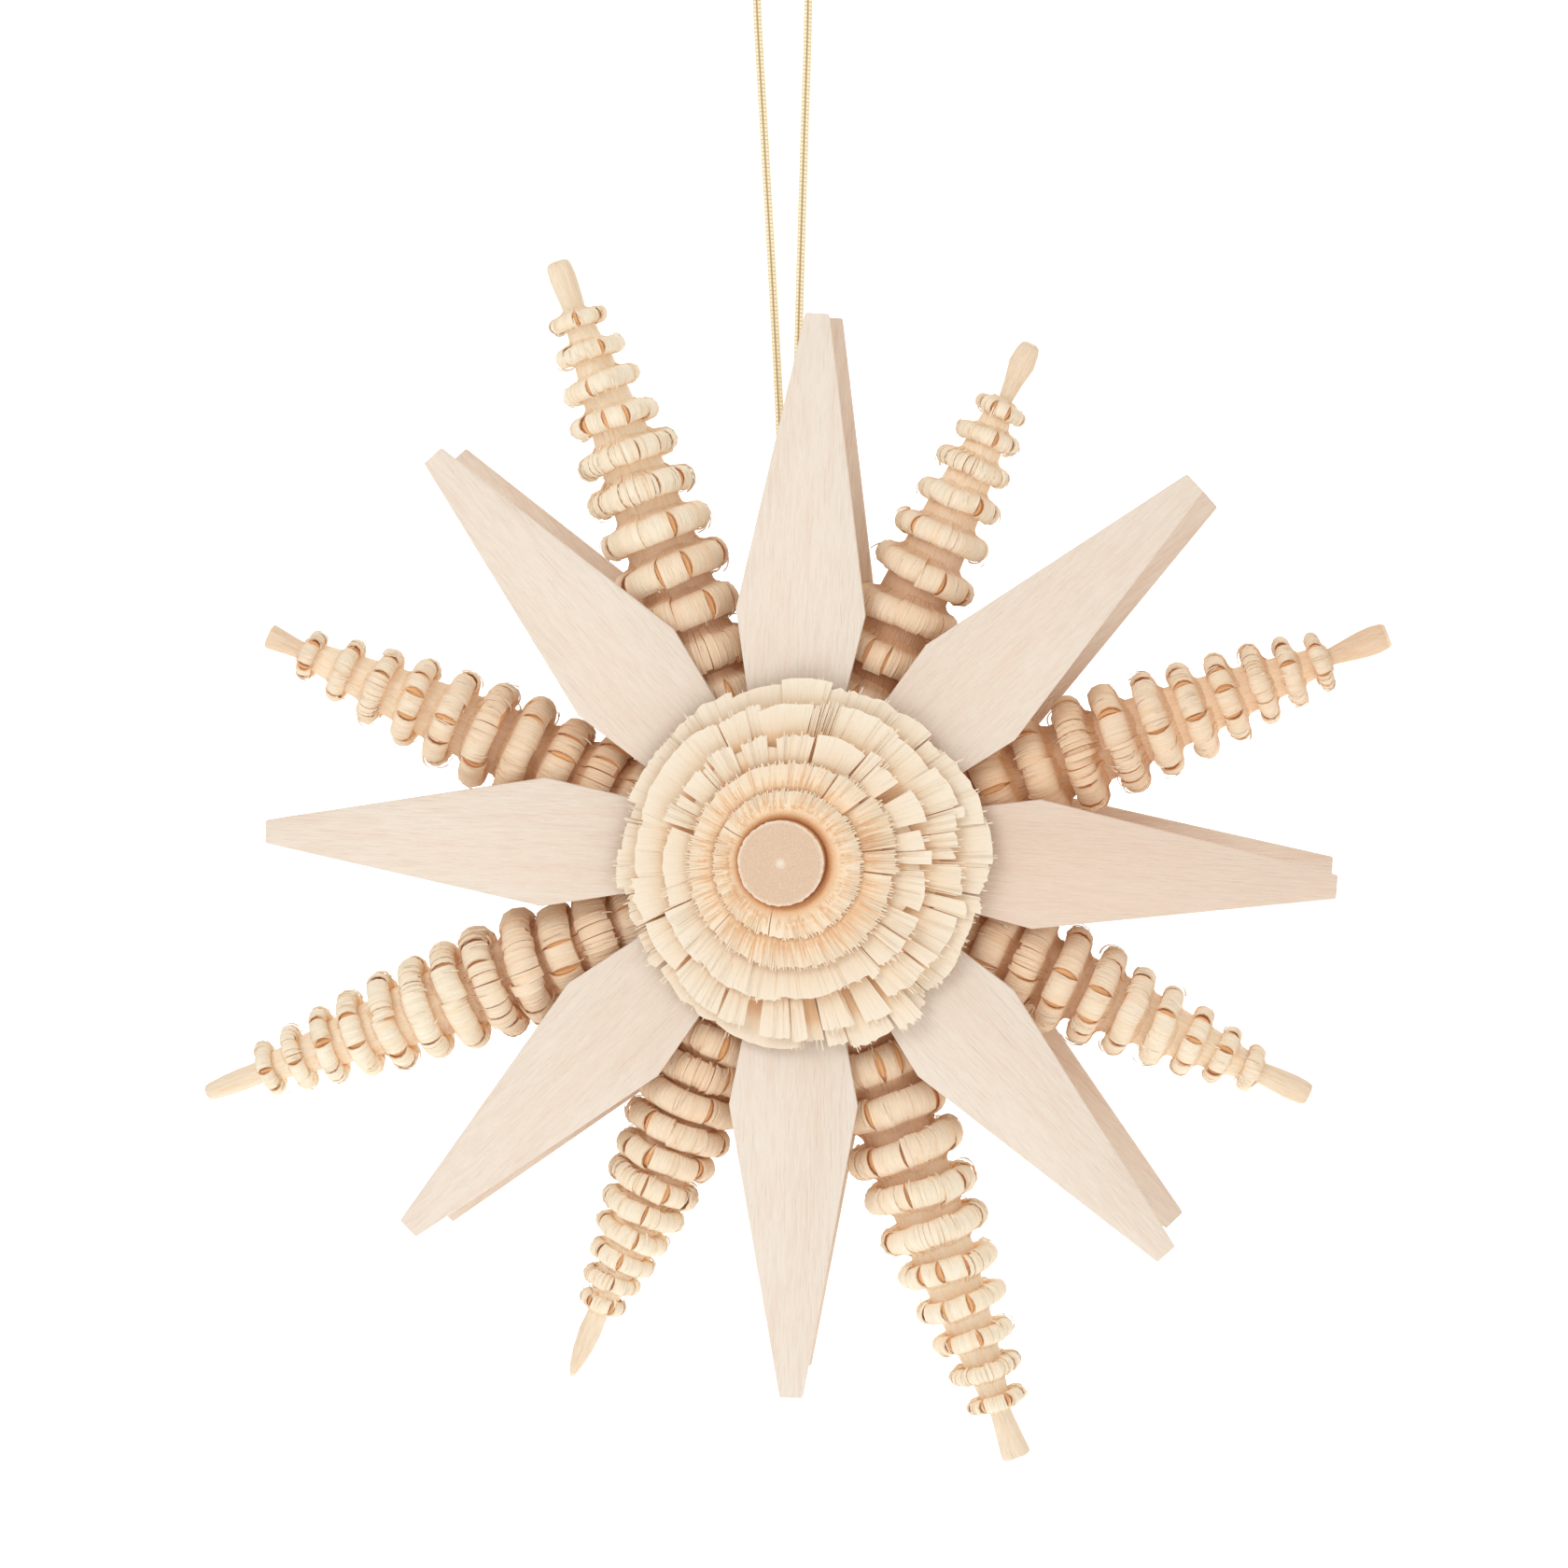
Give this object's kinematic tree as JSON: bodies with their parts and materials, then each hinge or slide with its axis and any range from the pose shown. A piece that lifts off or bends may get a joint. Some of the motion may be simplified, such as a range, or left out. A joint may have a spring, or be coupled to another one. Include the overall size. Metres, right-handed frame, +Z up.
{
  "type": "wooden star ornament",
  "caption": "Hanging star of pale wood: whittled sticks with curled shavings between two layers of thin slats, a shaved flower on each side, on a gold cord loop.",
  "frame": {"origin": "the inside top of the hanging loop, where a hook or peg holds the ornament", "axes": "+Z up along the hanging cord, the front rosette faces -Y, +X to the right as seen from the front"},
  "size_m": [0.104, 0.0196, 0.1305],
  "materials": {
    "slat_wood": "bare, planed, pale with a faint pink grain",
    "back_slat_wood": "bare, planed, a little darker",
    "stick_wood": "bare, freshly whittled, fibrous",
    "rosette_wood": "bare, thin cream shavings",
    "gold_cord": "metallic gold thread wound on a core"
  },
  "bodies": {
    "root": {"front_slat_n": "slat_wood", "front_slat_ne": "slat_wood", "front_slat_e": "slat_wood", "front_slat_se": "slat_wood", "front_slat_s": "slat_wood", "front_slat_sw": "slat_wood", "front_slat_w": "slat_wood", "front_slat_nw": "slat_wood", "back_slat_n": "back_slat_wood", "back_slat_ne": "back_slat_wood", "back_slat_e": "back_slat_wood", "back_slat_se": "back_slat_wood", "back_slat_s": "back_slat_wood", "back_slat_sw": "back_slat_wood", "back_slat_w": "back_slat_wood", "back_slat_nw": "back_slat_wood", "curled_stick_nnw": "stick_wood", "curled_stick_nne": "stick_wood", "curled_stick_ene": "stick_wood", "curled_stick_ese": "stick_wood", "curled_stick_sse": "stick_wood", "curled_stick_ssw": "stick_wood", "curled_stick_wsw": "stick_wood", "curled_stick_wnw": "stick_wood", "front_rosette": "rosette_wood", "back_rosette": "rosette_wood", "hanging_cord": "gold_cord"}
  },
  "joints": []
}
